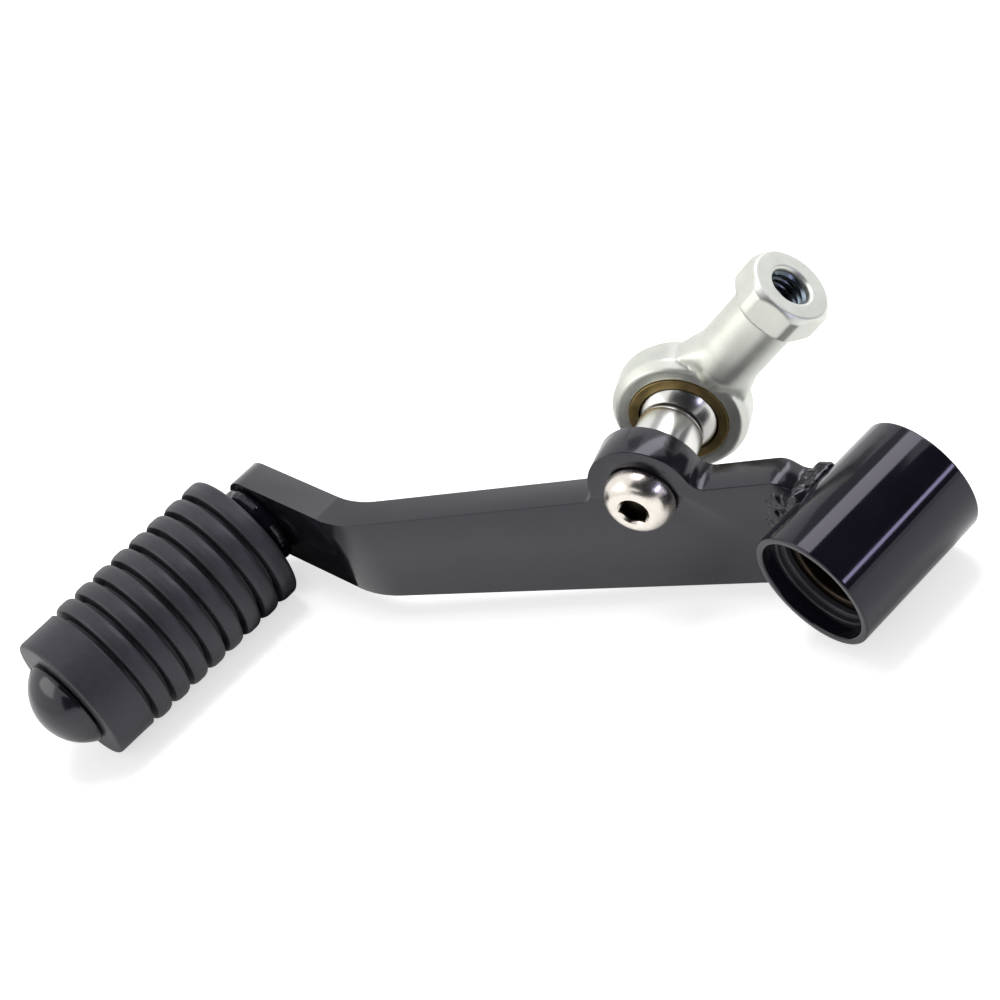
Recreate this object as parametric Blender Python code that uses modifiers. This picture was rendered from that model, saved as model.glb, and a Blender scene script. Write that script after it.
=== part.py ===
"""Motorcycle gear shift lever.

A bent steel arm is welded to a pivot sleeve at one end and carries a ribbed rubber toe peg at
the other. A spherical rod end for the shift rod is bolted to an ear on the arm's upper edge,
and swings on its ball.

Frame: the origin is the centre of the pivot sleeve. The sleeve and the toe peg lie along Y,
with the toe peg standing out towards -Y. +X runs from the toe peg to the sleeve, and +Z is up.
All sizes are in metres.
"""

import math

import bmesh
import bpy
from mathutils import Matrix, Vector

MM = 0.001

# clearances
SEAT_GAP = 0.3 * MM          # between faces that bear on each other
ROUND_GAP = 0.2 * MM         # between a round piece and its bore
FACETS = 32                  # sides of the large round pieces
SMALL_FACETS = 24            # sides of the small ones

# pivot sleeve, its bush and its seals
SLEEVE_DIAMETER = 19.0 * MM
SLEEVE_LENGTH = 23.5 * MM
SLEEVE_BORE = 16.7 * MM
SLEEVE_EDGE = 0.2 * MM
PIVOT_BOLT_BORE = 12.0 * MM
SEAL_DEPTH = 2.3 * MM
SEAL_WIDTH = 1.9 * MM
SEAL_LIP_DIAMETER = 14.8 * MM
SEAL_LIP_DEPTH = 1.0 * MM
BUSH_EDGE = 0.5 * MM

# arm plate, measured on its front face
PLATE_THICKNESS = 5.2 * MM
LEAN = math.radians(25.5)            # of the main length towards the rider's side
PLATE_OFFSET = 1.05 * MM             # front face behind the sleeve's centre
PLATE_START = 5.0 * MM               # first point of the plate beside the sleeve's axis
ROOT_HEIGHT = 19.4 * MM
ROOT_DROP = 3.0 * MM                 # each corner of the plate's end, cut back beside the sleeve
ROOT_CORNER = 2.0 * MM               # length of the slope from the full height to the cut
ROOT_CLEARANCE = 1.1 * MM            # where it starts, outside the sleeve
TIP_HEIGHT = 15.2 * MM
BEND_DISTANCE = 86.0 * MM            # sleeve axis to the corner of the bend
BEND_INNER_RADIUS = 18.0 * MM
BEND_STEPS = 8
PEG_DISTANCE = 27.0 * MM             # corner of the bend to the peg axis
PLATE_EDGE = 0.4 * MM

# ear for the link screw
EAR_DISTANCE = 31.4 * MM
EAR_HEIGHT = 9.3 * MM
EAR_RADIUS = 8.0 * MM
EAR_FILLET = 2.2 * MM

# welds
WELD_LEG = 2.4 * MM                  # front run
WELD_BACK_LEG = 1.4 * MM
WELD_END_LEG = 1.7 * MM              # over the plate's edges
WELD_RIPPLE = 0.12                   # share of the leg
WELD_RIPPLE_STEPS = 4
WELD_STEPS = 24

# toe peg
PIN_DIAMETER = 10.0 * MM
PIN_TAIL_DIAMETER = 8.0 * MM
PEG_STANDOFF = 3.9 * MM
PEG_WELD_RADIUS = 7.2 * MM
PEG_WELD_LENGTH = 2.9 * MM
TAIL_WELD_RADIUS = 5.6 * MM
TAIL_WELD_HEIGHT = 1.5 * MM
HEAD_RADIUS = 7.65 * MM
HEAD_RIM = 0.6 * MM
HEAD_HEIGHT = 5.3 * MM
RUBBER_LENGTH = 38.4 * MM
RUBBER_RADIUS = 11.4 * MM            # smooth front section
RIB_RADIUS = 11.75 * MM
RIB_EDGE_DROP = 0.6 * MM
RIB_CROWN = 1.0 * MM                 # width of a rib's crown
GROOVES = 8
FIRST_GROOVE = 7.55 * MM             # front face to the middle of the first groove
GROOVE_PITCH = 3.88 * MM
GROOVE_WIDTH = 1.15 * MM
GROOVE_DEPTH = 1.9 * MM
RUBBER_EDGE = 0.4 * MM

# link screw, M6, and what it holds
SCREW_DIAMETER = 6.0 * MM
SCREW_HOLE = 6.6 * MM
SCREW_HEAD_RADIUS = 5.2 * MM
SCREW_HEAD_HEIGHT = 3.3 * MM
SCREW_HEAD_CROWN = 2.9 * MM          # radius of the flat round the socket
SCREW_SOCKET = 4.0 * MM              # across flats
SCREW_SOCKET_DEPTH = 2.1 * MM
SCREW_LENGTH = 27.2 * MM
SPACER_DIAMETER = 9.6 * MM
SPACER_LENGTH = 8.0 * MM
SPACER_CHAMFER = 0.9 * MM            # length of the chamfer at the ball
NUT_FLATS = 10.0 * MM
NUT_HEIGHT = 3.2 * MM                # thin nut

# spherical rod end, M6
BALL_RADIUS = 6.45 * MM
BALL_WIDTH = 9.0 * MM
BALL_GAP = 0.25 * MM
RACE_RADIUS = 7.2 * MM
RACE_WIDTH = 6.8 * MM
EYE_RADIUS = 9.9 * MM
EYE_FACE_RADIUS = 9.0 * MM
EYE_WIDTH = 6.6 * MM
EYE_LAND = 3.6 * MM                  # width of the eye's round edge between its bevels
SHANK_DIAMETER = 9.8 * MM
SHANK_BLEND = 3.5 * MM
HEX_FLATS = 12.0 * MM
HEX_CORNER_RADIUS = 6.55 * MM        # corners turned off
HEX_LENGTH = 4.9 * MM
HEX_CHAMFER = 0.8 * MM
HEX_TURN = math.radians(18)
ROD_END_LENGTH = 28.0 * MM           # ball centre to the end face
SOCKET_DIAMETER = 5.2 * MM
SOCKET_MOUTH = 6.4 * MM
SOCKET_DEPTH = 15.0 * MM
ROD_YAW = math.radians(34.8)         # direction of the shank in plan, from +X
ROD_RISE = math.radians(34.7)
ROD_ROLL = math.radians(4.1)         # the eye's tilt on its ball, about the shank

# what follows from the sizes above
ALONG_ARM = Vector((-math.cos(LEAN), -math.sin(LEAN), 0))
BEHIND_ARM = Vector((-math.sin(LEAN), math.cos(LEAN), 0))
ARM_FOOT = Vector((0, PLATE_OFFSET, 0))
EAR_CENTRE = ARM_FOOT + ALONG_ARM * EAR_DISTANCE + Vector((0, 0, EAR_HEIGHT))
BEND_OUTER_RADIUS = BEND_INNER_RADIUS + PLATE_THICKNESS
BEND_TANGENT = BEND_OUTER_RADIUS * math.tan(LEAN / 2)
BEND_START = BEND_DISTANCE - BEND_TANGENT
BEND_END = BEND_START + BEND_OUTER_RADIUS * LEAN
PEG_FLAT_DISTANCE = BEND_END + PEG_DISTANCE - BEND_TANGENT
PEG_CENTRE = ARM_FOOT + ALONG_ARM * BEND_DISTANCE + Vector((-PEG_DISTANCE, 0, 0))
SPACER_START = PLATE_THICKNESS + SEAT_GAP
BALL_START = SPACER_START + SPACER_LENGTH + SEAT_GAP
BALL_DISTANCE = BALL_START + BALL_WIDTH / 2
NUT_START = BALL_START + BALL_WIDTH + SEAT_GAP
BALL_CENTRE = EAR_CENTRE + BEHIND_ARM * BALL_DISTANCE
RUBBER_START = PEG_STANDOFF
RUBBER_END = RUBBER_START + RUBBER_LENGTH
BUSH_LENGTH = SLEEVE_LENGTH - 2 * (SEAL_DEPTH + SEAL_WIDTH + SEAT_GAP)
RACE_SEAT = BALL_RADIUS + BALL_GAP

for old in list(bpy.data.objects):
    bpy.data.objects.remove(old, do_unlink=True)
parts = bpy.data.collections.new("gear_shift_lever")
tools = bpy.data.collections.new("cutters")
for collection in (parts, tools):
    bpy.context.scene.collection.children.link(collection)


def material(name, colour, roughness, metallic):
    made = bpy.data.materials.new(name)
    made.use_nodes = True
    shader = made.node_tree.nodes["Principled BSDF"]
    shader.inputs["Base Color"].default_value = (*colour, 1)
    shader.inputs["Roughness"].default_value = roughness
    shader.inputs["Metallic"].default_value = metallic
    return made


BLACK_PAINT = material("black_paint", (0.03, 0.03, 0.034), 0.38, 0.0)
GLOSS_PAINT = material("gloss_black_paint", (0.012, 0.011, 0.013), 0.18, 0.0)
BLACK_RUBBER = material("black_rubber", (0.045, 0.044, 0.048), 0.7, 0.0)
BRONZE = material("bronze", (0.35, 0.22, 0.09), 0.4, 1.0)
STAINLESS = material("stainless", (0.62, 0.58, 0.52), 0.25, 1.0)
CHROME = material("chrome", (0.75, 0.75, 0.76), 0.08, 1.0)
ZINC = material("zinc_plate", (0.66, 0.68, 0.64), 0.35, 1.0)


def axis(name, origin, along, across=Vector((0, 0, 1))):
    """An empty whose local Z runs along the given direction and whose local X leans to the other."""
    z = along.normalized()
    y = z.cross(across).normalized()
    x = y.cross(z)
    turn = Matrix((x, y, z)).transposed().to_4x4()
    made = bpy.data.objects.new(name, None)
    made.matrix_world = Matrix.Translation(origin) @ turn
    parts.objects.link(made)
    return made


def new_object(name, mesh, parent, at=0.0, colour=None):
    """An object on its axis. One without a colour is a cutter or a shape that is joined."""
    made = bpy.data.objects.new(name, mesh)
    made.parent = parent
    made.location = (0, 0, at)
    if colour is None:
        tools.objects.link(made)
        made.hide_render = True
        made.display_type = "WIRE"
    else:
        parts.objects.link(made)
        mesh.materials.append(colour)
    return made


def turned(name, outline, parent, at=0.0, colour=None, ring=False, facets=FACETS):
    """A profile of (radius, height) points turned round local Z. Its outer side runs downwards."""
    mesh = bpy.data.meshes.new(name)
    last = len(outline) - 1
    edges = [(i, i + 1) for i in range(last)] + ([(last, 0)] if ring else [])
    mesh.from_pydata([(r, 0, z) for r, z in outline], edges, [])
    made = new_object(name, mesh, parent, at, colour)
    screw = made.modifiers.new("turn", "SCREW")
    screw.axis = "Z"
    screw.steps = screw.render_steps = facets
    screw.use_merge_vertices = True
    screw.merge_threshold = 0.000001
    return made


def cylinder(name, radius, low, high, parent, facets=FACETS):
    """A plain round cutter between two heights."""
    return turned(name, [(0, high), (radius, high), (radius, low), (0, low)], parent, facets=facets)


def hexagon(name, flats, height, parent, at, colour=None):
    """A six-sided prism standing on the given height."""
    mesh = bpy.data.meshes.new(name)
    work = bmesh.new()
    bmesh.ops.create_cone(work, cap_ends=True, segments=6, radius1=flats / math.sqrt(3),
                          radius2=flats / math.sqrt(3), depth=height)
    bmesh.ops.translate(work, verts=work.verts, vec=(0, 0, height / 2))
    work.to_mesh(mesh)
    work.free()
    return new_object(name, mesh, parent, at, colour)


def boolean(target, other, operation, solver="EXACT"):
    step = target.modifiers.new(other.name, "BOOLEAN")
    step.operation = operation
    step.solver = solver
    step.object = other


def finish(made, sharp=35):
    """Applies the modifiers and shades the piece smooth between its sharp edges."""
    bpy.context.view_layer.update()
    mesh = bpy.data.meshes.new_from_object(made.evaluated_get(bpy.context.evaluated_depsgraph_get()))
    mesh.name = made.name
    made.modifiers.clear()
    made.data = mesh
    mesh.shade_smooth()
    mesh.set_sharp_from_angle(angle=math.radians(sharp))


def arc(centre, radius, start, end, steps):
    """Points on an arc, both ends included. Angles in radians."""
    cx, cy = centre
    angles = [start + (end - start) * i / steps for i in range(steps + 1)]
    return [(cx + radius * math.cos(a), cy + radius * math.sin(a)) for a in angles]


sleeve_axis = axis("sleeve_axis", Vector((0, 0, 0)), Vector((0, -1, 0)))
ear_axis = axis("ear_axis", EAR_CENTRE, BEHIND_ARM)
peg_axis = axis("peg_axis", PEG_CENTRE, Vector((0, -1, 0)))
ball_axis = axis("ball_axis", BALL_CENTRE, BEHIND_ARM)


# Arm plate: a flat blank, folded at the bend and given its thickness behind the front face

def upper_edge(distance):
    """Half height of the tapering blank at a distance from the sleeve's axis."""
    share = min(distance / BEND_START, 1)
    return (ROOT_HEIGHT + (TIP_HEIGHT - ROOT_HEIGHT) * share) / 2


def plate_end(clearance=0.0):
    """Upper corner of the plate's end, cut back beside the sleeve, from the end outwards."""
    root = upper_edge(PLATE_START) + clearance
    full = SLEEVE_DIAMETER / 2 + ROOT_CLEARANCE
    return [(PLATE_START, root - ROOT_DROP), (full - ROOT_CORNER, root - ROOT_DROP * 0.8),
            (full, upper_edge(full) + clearance)]


def ear_outline():
    """The ear and its two fillets, from the sleeve's side to the bend's side."""
    taper = math.atan((ROOT_HEIGHT - TIP_HEIGHT) / 2 / BEND_START)
    rise = (EAR_HEIGHT - upper_edge(EAR_DISTANCE)) * math.cos(taper)
    reach = math.sqrt((EAR_RADIUS + EAR_FILLET) ** 2 - (EAR_FILLET - rise) ** 2)
    lean = math.atan2(EAR_FILLET - rise, reach)
    square = math.pi / 2
    ear = (EAR_DISTANCE, EAR_HEIGHT)

    def fillet_centre(side):
        angle = lean - taper if side > 0 else math.pi - lean - taper
        reach_to = EAR_RADIUS + EAR_FILLET
        return (ear[0] + reach_to * math.cos(angle), ear[1] + reach_to * math.sin(angle))

    near = arc(fillet_centre(-1), EAR_FILLET, -square - taper, -lean - taper, 5)
    over = arc(ear, EAR_RADIUS, math.pi - lean - taper, lean - taper, 26)
    far = arc(fillet_centre(1), EAR_FILLET, math.pi + lean - taper, 3 * square - taper, 5)
    return near + over[1:-1] + far


def fold(point):
    """Carries a point of the flat blank to its place on the folded front face."""
    distance, height = point
    if distance <= BEND_START:
        place = ARM_FOOT + ALONG_ARM * distance
    else:
        turn = min((distance - BEND_START) / BEND_OUTER_RADIUS, LEAN)
        centre = ARM_FOOT + ALONG_ARM * BEND_START + BEHIND_ARM * BEND_OUTER_RADIUS
        place = centre + Matrix.Rotation(-turn, 3, "Z") @ (-BEHIND_ARM * BEND_OUTER_RADIUS)
        place.x -= max(distance - BEND_END, 0)
    return Vector((place.x, place.y, height))


tip = arc((PEG_FLAT_DISTANCE, 0), TIP_HEIGHT / 2, math.pi / 2, -math.pi / 2, 18)
blank = [(s, -z) for s, z in reversed(plate_end())] + plate_end()
blank += ear_outline() + [(BEND_START, TIP_HEIGHT / 2)] + tip + [(BEND_START, -TIP_HEIGHT / 2)]
work = bmesh.new()
work.faces.new([work.verts.new((s, z, 0)) for s, z in blank])
for step in range(BEND_STEPS + 1):
    line = BEND_START + (BEND_END - BEND_START) * step / BEND_STEPS
    bmesh.ops.bisect_plane(work, geom=work.verts[:] + work.edges[:] + work.faces[:], dist=0.01 * MM,
                           plane_co=(line, 0, 0), plane_no=(1, 0, 0))
for corner in work.verts:
    corner.co = fold((corner.co.x, corner.co.y))
plate_mesh = bpy.data.meshes.new("arm_plate")
work.to_mesh(plate_mesh)
work.free()
arm_plate = new_object("arm_plate", plate_mesh, None, colour=BLACK_PAINT)
thickness = arm_plate.modifiers.new("thickness", "SOLIDIFY")
thickness.thickness = PLATE_THICKNESS
thickness.offset = -1
thickness.use_even_offset = True
edge = arm_plate.modifiers.new("edge", "BEVEL")
edge.width = PLATE_EDGE
edge.segments = 2
edge.limit_method = "ANGLE"
edge.angle_limit = math.radians(50)
beside_sleeve = cylinder("beside_sleeve", SLEEVE_DIAMETER / 2 + SEAT_GAP, -SLEEVE_LENGTH, SLEEVE_LENGTH, sleeve_axis)
ear_hole = cylinder("ear_hole", SCREW_HOLE / 2, -PLATE_THICKNESS, 2 * PLATE_THICKNESS, ear_axis, SMALL_FACETS)
tail_hole = cylinder("tail_hole", PIN_TAIL_DIAMETER / 2 + ROUND_GAP, -2 * PLATE_THICKNESS, PLATE_THICKNESS,
                     peg_axis, SMALL_FACETS)
for cutter in (beside_sleeve, ear_hole, tail_hole):
    boolean(arm_plate, cutter, "DIFFERENCE")
finish(arm_plate)


# Pivot sleeve with its bush and seals

def tube_outline(outer, inner, length, edge_size):
    """A tube about the origin with a small bevel on its outer edges."""
    half = length / 2
    return [(outer - edge_size, half), (outer, half - edge_size), (outer, edge_size - half),
            (outer - edge_size, -half), (inner, -half), (inner, half)]


sleeve_radius = SLEEVE_DIAMETER / 2
bore_radius = SLEEVE_BORE / 2
pivot_sleeve = turned("pivot_sleeve", tube_outline(sleeve_radius, bore_radius, SLEEVE_LENGTH, SLEEVE_EDGE),
                      sleeve_axis, colour=GLOSS_PAINT, ring=True)
finish(pivot_sleeve)

bush_outer = bore_radius - ROUND_GAP
bush_inner = PIVOT_BOLT_BORE / 2
half_bush = BUSH_LENGTH / 2
pivot_bush = turned("pivot_bush", [(bush_outer, half_bush), (bush_outer, -half_bush),
                                   (bush_inner + BUSH_EDGE, -half_bush), (bush_inner, BUSH_EDGE - half_bush),
                                   (bush_inner, half_bush - BUSH_EDGE), (bush_inner + BUSH_EDGE, half_bush)],
                    sleeve_axis, colour=BRONZE, ring=True)
finish(pivot_bush)

seal_lip = SEAL_LIP_DIAMETER / 2
seal_outline = [(bush_outer, 0), (bush_outer, -SEAL_WIDTH), (seal_lip, -SEAL_WIDTH),
                (seal_lip, -SEAL_LIP_DEPTH), (bush_outer - 2 * ROUND_GAP, 0)]
for name, side in (("dust_seal_front", 1), ("dust_seal_back", -1)):
    seal = turned(name, seal_outline, sleeve_axis, side * (SLEEVE_LENGTH / 2 - SEAL_DEPTH),
                  BLACK_RUBBER, ring=True)
    seal.rotation_euler.x = 0 if side > 0 else math.pi
    finish(seal)


# Weld bead round the end of the arm, on the sleeve

def weld_point(climb, across):
    """A point on the sleeve: climb is the angle above its side, across runs 0 to 1 through the plate."""
    x = -sleeve_radius * math.cos(climb)
    y = PLATE_OFFSET + x * math.tan(LEAN) + across * PLATE_THICKNESS / math.cos(LEAN)
    return Vector((x, y, sleeve_radius * math.sin(climb)))


def weld_run(name, leg, start, end, steps, colour=None):
    """A round bead with ripples, between two (climb, across) places on the sleeve."""
    curve = bpy.data.curves.new(name, "CURVE")
    curve.dimensions = "3D"
    curve.bevel_depth = leg
    curve.bevel_resolution = 2
    curve.use_fill_caps = True
    spline = curve.splines.new("POLY")
    spline.points.add(steps)
    for index, point in enumerate(spline.points):
        share = index / steps
        place = weld_point(*(a + (b - a) * share for a, b in zip(start, end)))
        point.co = (*place, 1)
        point.radius = 1 + WELD_RIPPLE * math.sin(2 * math.pi * index / WELD_RIPPLE_STEPS)
    path = bpy.data.objects.new(name, curve)
    parts.objects.link(path)
    bpy.context.view_layer.update()
    mesh = bpy.data.meshes.new_from_object(path.evaluated_get(bpy.context.evaluated_depsgraph_get()))
    bpy.data.objects.remove(path, do_unlink=True)
    work = bmesh.new()
    work.from_mesh(mesh)
    bmesh.ops.remove_doubles(work, verts=work.verts, dist=0.001 * MM)
    bmesh.ops.recalc_face_normals(work, faces=work.faces)
    work.to_mesh(mesh)
    work.free()
    return new_object(name, mesh, None, colour=colour)


weld_reach = math.asin((upper_edge(PLATE_START) - ROOT_DROP) / sleeve_radius)
sleeve_weld = weld_run("sleeve_weld", WELD_LEG, (-weld_reach, 0), (weld_reach, 0), WELD_STEPS, GLOSS_PAINT)
back_run = weld_run("back_run", WELD_BACK_LEG, (-weld_reach, 1), (weld_reach, 1), WELD_STEPS)
top_run = weld_run("top_run", WELD_END_LEG, (weld_reach, -0.2), (weld_reach, 1.1), WELD_STEPS // 4)
bottom_run = weld_run("bottom_run", WELD_END_LEG, (-weld_reach, -0.2), (-weld_reach, 1.1), WELD_STEPS // 4)
for run in (top_run, bottom_run, back_run):
    boolean(sleeve_weld, run, "UNION", "MANIFOLD")           # the exact solver leaves these open
upper_side = plate_end(SEAT_GAP) + [(2 * ROOT_HEIGHT, upper_edge(ROOT_HEIGHT) + SEAT_GAP)]
upper_side.insert(0, (0, upper_side[0][1]))
slab_mesh = bpy.data.meshes.new("beside_plate")
work = bmesh.new()
near = work.faces.new([work.verts.new((-s, -SEAT_GAP, z)) for s, z in
                       upper_side + [(s, -z) for s, z in reversed(upper_side)]])
far = bmesh.ops.extrude_face_region(work, geom=[near])
far_corners = [item for item in far["geom"] if isinstance(item, bmesh.types.BMVert)]
bmesh.ops.translate(work, verts=far_corners, vec=(0, PLATE_THICKNESS + 2 * SEAT_GAP, 0))
bmesh.ops.recalc_face_normals(work, faces=work.faces)
work.to_mesh(slab_mesh)
work.free()
beside_plate = new_object("beside_plate", slab_mesh, None)
beside_plate.location = ARM_FOOT
beside_plate.rotation_euler.z = LEAN
for cutter in (beside_sleeve, beside_plate):
    boolean(sleeve_weld, cutter, "DIFFERENCE", "MANIFOLD")
finish(sleeve_weld)


# Toe peg: pin with a domed head, its welds and the ribbed rubber

pin_radius = PIN_DIAMETER / 2
tail_radius = PIN_TAIL_DIAMETER / 2
head_start = RUBBER_END + SEAT_GAP
cap_height = HEAD_HEIGHT - HEAD_RIM
cap_radius = (HEAD_RADIUS ** 2 + cap_height ** 2) / (2 * cap_height)
cap_centre = head_start + HEAD_HEIGHT - cap_radius
cap_angle = math.asin((head_start + HEAD_RIM - cap_centre) / cap_radius)
dome = arc((0, cap_centre), cap_radius, math.pi / 2, cap_angle, 9)
dome[0] = (0, head_start + HEAD_HEIGHT)
peg_pin = turned("peg_pin", dome + [(HEAD_RADIUS, head_start), (pin_radius, head_start),
                                    (pin_radius, SEAT_GAP), (tail_radius, SEAT_GAP),
                                    (tail_radius, -PLATE_THICKNESS), (0, -PLATE_THICKNESS)],
                 peg_axis, colour=GLOSS_PAINT, facets=SMALL_FACETS + 4)
finish(peg_pin)

weld_inner = pin_radius + ROUND_GAP
fillet_reach = PEG_WELD_RADIUS - weld_inner
peg_weld_outline = [(weld_inner, SEAT_GAP + PEG_WELD_LENGTH)]
for x, z in arc((0, 0), 1, math.pi / 2, 0, 4)[1:]:
    peg_weld_outline.append((weld_inner + fillet_reach * x, SEAT_GAP + PEG_WELD_LENGTH * z))
peg_weld_outline.append((weld_inner, SEAT_GAP))
peg_weld = turned("peg_weld", peg_weld_outline, peg_axis, colour=GLOSS_PAINT, ring=True,
                  facets=SMALL_FACETS + 4)
finish(peg_weld)

tail_weld_outline = [(TAIL_WELD_RADIUS * x, -TAIL_WELD_HEIGHT * z) for x, z in arc((0, 0), 1, 0, math.pi / 2, 4)]
tail_weld_outline[-1] = (0, -TAIL_WELD_HEIGHT)
peg_tail_weld = turned("peg_tail_weld", [(0, 0)] + tail_weld_outline, peg_axis,
                       -PLATE_THICKNESS - SEAT_GAP, GLOSS_PAINT, facets=SMALL_FACETS)
finish(peg_tail_weld)


def rubber_outline():
    """Crowned ribs between square grooves, counted from the front face."""
    edge_radius = RIB_RADIUS - RIB_EDGE_DROP
    floor_radius = RUBBER_RADIUS - GROOVE_DEPTH
    points = [(RUBBER_RADIUS - RUBBER_EDGE, RUBBER_END), (RUBBER_RADIUS, RUBBER_END - RUBBER_EDGE)]
    for groove in range(GROOVES):
        middle = RUBBER_END - FIRST_GROOVE - groove * GROOVE_PITCH
        high, low = middle + GROOVE_WIDTH / 2, middle - GROOVE_WIDTH / 2
        next_rib = low - (GROOVE_PITCH - GROOVE_WIDTH) / 2
        points += [(RUBBER_RADIUS, high + RIB_EDGE_DROP)] if groove == 0 else []
        points += [(edge_radius, high), (floor_radius, high), (floor_radius, low), (edge_radius, low)]
        points += [(RIB_RADIUS, next_rib + RIB_CROWN / 2)]
        points += [(RIB_RADIUS, next_rib - RIB_CROWN / 2)] if groove < GROOVES - 1 else []
    points += [(RIB_RADIUS, RUBBER_START + 2 * RUBBER_EDGE), (RIB_RADIUS - 2 * RUBBER_EDGE, RUBBER_START)]
    bore = pin_radius + ROUND_GAP
    return points + [(bore, RUBBER_START), (bore, RUBBER_END)]


peg_rubber = turned("peg_rubber", rubber_outline(), peg_axis, colour=BLACK_RUBBER, ring=True)
finish(peg_rubber)


# Link screw, spacer, ball and nut, in order along the ear's axis

screw_radius = SCREW_DIAMETER / 2
head_seat = -SEAT_GAP
head_top = head_seat - SCREW_HEAD_HEIGHT
head_side = [(SCREW_HEAD_CROWN + (SCREW_HEAD_RADIUS - SCREW_HEAD_CROWN) * x,
              head_seat - SCREW_HEAD_HEIGHT * z) for x, z in arc((0, 0), 1, math.radians(8), math.pi / 2, 6)]
screw_end = head_seat + SCREW_LENGTH
screw_outline = [(0, screw_end), (screw_radius - 0.5 * MM, screw_end), (screw_radius, screw_end - 0.5 * MM),
                 (screw_radius, head_seat), (SCREW_HEAD_RADIUS - 0.2 * MM, head_seat)]
screw_outline += head_side[:-1] + [(SCREW_HEAD_CROWN, head_top), (0, head_top)]
link_screw = turned("link_screw", screw_outline, ear_axis, colour=STAINLESS, facets=SMALL_FACETS + 4)
screw_socket = hexagon("screw_socket", SCREW_SOCKET, 2 * SCREW_SOCKET_DEPTH, ear_axis,
                       head_top - SCREW_SOCKET_DEPTH)
boolean(link_screw, screw_socket, "DIFFERENCE")
finish(link_screw)

clear_radius = SCREW_HOLE / 2
half_spacer = SPACER_LENGTH / 2
spacer_radius = SPACER_DIAMETER / 2
ball_spacer = turned("ball_spacer", [(spacer_radius - SPACER_CHAMFER / 2, half_spacer),
                                     (spacer_radius, half_spacer - SPACER_CHAMFER),
                                     (spacer_radius, SLEEVE_EDGE - half_spacer),
                                     (spacer_radius - SLEEVE_EDGE, -half_spacer),
                                     (clear_radius, -half_spacer), (clear_radius, half_spacer)],
                     ear_axis, SPACER_START + half_spacer, CHROME, ring=True, facets=SMALL_FACETS + 4)
finish(ball_spacer)

flat_angle = math.asin(BALL_WIDTH / 2 / BALL_RADIUS)
ball_outline = arc((0, 0), BALL_RADIUS, flat_angle, -flat_angle, 6)
ball_outline += [(clear_radius, -BALL_WIDTH / 2), (clear_radius, BALL_WIDTH / 2)]
rod_end_ball = turned("rod_end_ball", ball_outline, ball_axis, colour=CHROME, ring=True)
finish(rod_end_ball, sharp=50)

link_nut = hexagon("link_nut", NUT_FLATS, NUT_HEIGHT, ear_axis, NUT_START, ZINC)
nut_flank = NUT_FLATS / 2
nut_face = nut_flank * 0.96
nut_barrel = turned("nut_barrel", [(0, NUT_HEIGHT), (nut_face, NUT_HEIGHT), (nut_flank * 1.17, NUT_HEIGHT * 0.8),
                                   (nut_flank * 1.17, NUT_HEIGHT * 0.2), (nut_face, 0), (0, 0)],
                    ear_axis, NUT_START, facets=SMALL_FACETS)
nut_bore = cylinder("nut_bore", screw_radius + ROUND_GAP, NUT_START - NUT_HEIGHT, NUT_START + 2 * NUT_HEIGHT,
                    ear_axis, SMALL_FACETS)
boolean(link_nut, nut_barrel, "INTERSECT")
boolean(link_nut, nut_bore, "DIFFERENCE")
finish(link_nut)


# Rod end: eye, shank and hexagon forged in one, with the race in the eye

shank_direction = Vector((math.cos(ROD_RISE) * math.cos(ROD_YAW), math.cos(ROD_RISE) * math.sin(ROD_YAW),
                          math.sin(ROD_RISE)))
level_eye = (BEHIND_ARM - shank_direction * BEHIND_ARM.dot(shank_direction)).normalized()
eye_direction = Matrix.Rotation(ROD_ROLL, 3, shank_direction) @ level_eye
eye_axis = axis("eye_axis", BALL_CENTRE, eye_direction, shank_direction)
shank_axis = axis("shank_axis", BALL_CENTRE, shank_direction)

half_eye = EYE_WIDTH / 2
half_land = EYE_LAND / 2
rod_end_housing = turned("rod_end_housing", [(0, half_eye), (EYE_FACE_RADIUS, half_eye), (EYE_RADIUS, half_land),
                                             (EYE_RADIUS, -half_land), (EYE_FACE_RADIUS, -half_eye),
                                             (0, -half_eye)],
                         eye_axis, colour=ZINC)
shank_radius = SHANK_DIAMETER / 2
hex_start = ROD_END_LENGTH - HEX_LENGTH
shank = turned("shank", [(0, hex_start + HEX_LENGTH / 2), (shank_radius, hex_start + HEX_LENGTH / 2),
                         (shank_radius, RACE_RADIUS + SHANK_BLEND), (half_eye * 0.85, RACE_RADIUS * 0.9),
                         (0, RACE_RADIUS * 0.9)],
               shank_axis, facets=SMALL_FACETS + 4)
hex_end = hexagon("hex_end", HEX_FLATS, HEX_LENGTH, shank_axis, hex_start)
hex_end.rotation_euler.z = HEX_TURN
hex_face = HEX_FLATS / 2 - 0.2 * MM
hex_barrel = turned("hex_barrel", [(0, HEX_LENGTH), (hex_face, HEX_LENGTH),
                                   (HEX_CORNER_RADIUS, HEX_LENGTH - HEX_CHAMFER),
                                   (HEX_CORNER_RADIUS, HEX_CHAMFER / 2), (HEX_FLATS / 2, 0), (0, 0)],
                    shank_axis, hex_start)
race_bore = cylinder("race_bore", RACE_RADIUS + ROUND_GAP, -2 * EYE_RADIUS, 2 * EYE_RADIUS, eye_axis)
race_bore.rotation_euler.z = math.pi / FACETS
socket_radius = SOCKET_DIAMETER / 2
mouth_radius = SOCKET_MOUTH / 2
mouth_depth = mouth_radius - socket_radius
past_face = 1 * MM
rod_socket = turned("rod_socket", [(0, past_face), (mouth_radius + past_face, past_face),
                                   (socket_radius, -mouth_depth), (socket_radius, -SOCKET_DEPTH),
                                   (0, -SOCKET_DEPTH - socket_radius / 2)],
                    shank_axis, ROD_END_LENGTH, facets=SMALL_FACETS)
boolean(hex_end, hex_barrel, "INTERSECT")
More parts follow.
